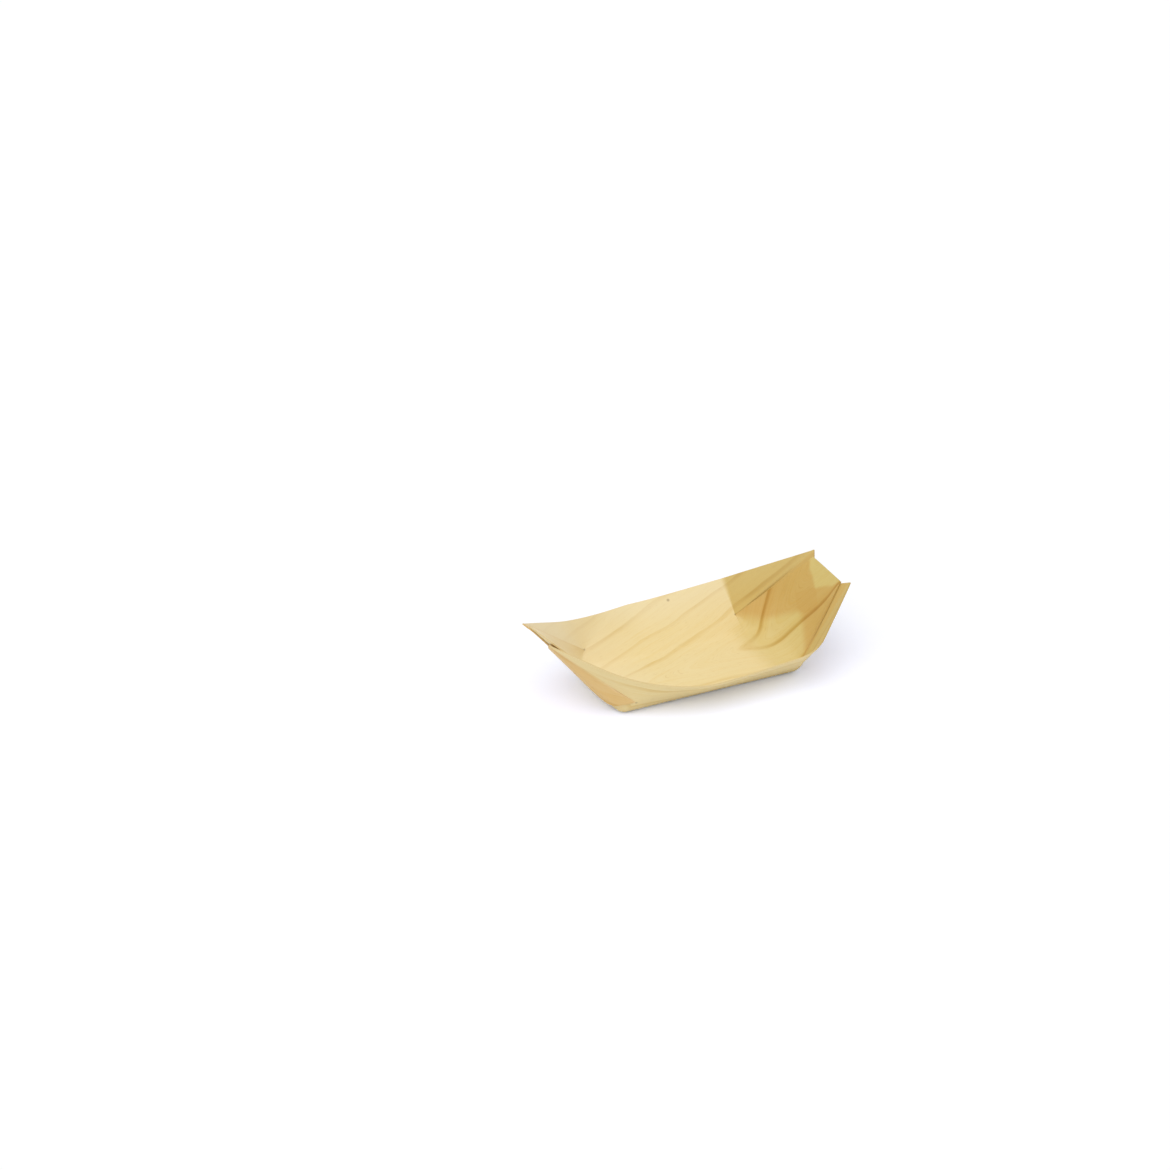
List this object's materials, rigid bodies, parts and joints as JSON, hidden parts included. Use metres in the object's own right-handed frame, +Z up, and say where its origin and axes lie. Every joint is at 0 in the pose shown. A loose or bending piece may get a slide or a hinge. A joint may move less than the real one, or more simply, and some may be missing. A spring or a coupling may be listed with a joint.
{
  "type": "wooden snack boat",
  "caption": "Open boat-shaped snack tray of thin pine veneer, bent to a trough with flared sides and closed at each end by an upturned panel with crossed, glued corner flaps.",
  "frame": {"origin": "on the surface that the boat stands on, under the middle of its length and width", "axes": "+X along the boat to the stern, the wide end; +Y to starboard; +Z up out of the open top"},
  "size_m": [0.1719, 0.0958, 0.043],
  "materials": {
    "pine_veneer": "unfinished sliced pine",
    "pine_veneer_flap": "unfinished sliced pine",
    "dried_glue": "clear dried glue film"
  },
  "bodies": {
    "root": {"floor_and_sides": "pine_veneer", "bow_end_panel": "pine_veneer", "bow_starboard_flap": "pine_veneer_flap", "bow_port_flap": "pine_veneer_flap", "bow_panel_glue": "dried_glue", "bow_lap_glue": "dried_glue", "stern_end_panel": "pine_veneer", "stern_starboard_flap": "pine_veneer_flap", "stern_port_flap": "pine_veneer_flap", "stern_panel_glue": "dried_glue", "stern_lap_glue": "dried_glue"}
  },
  "joints": []
}
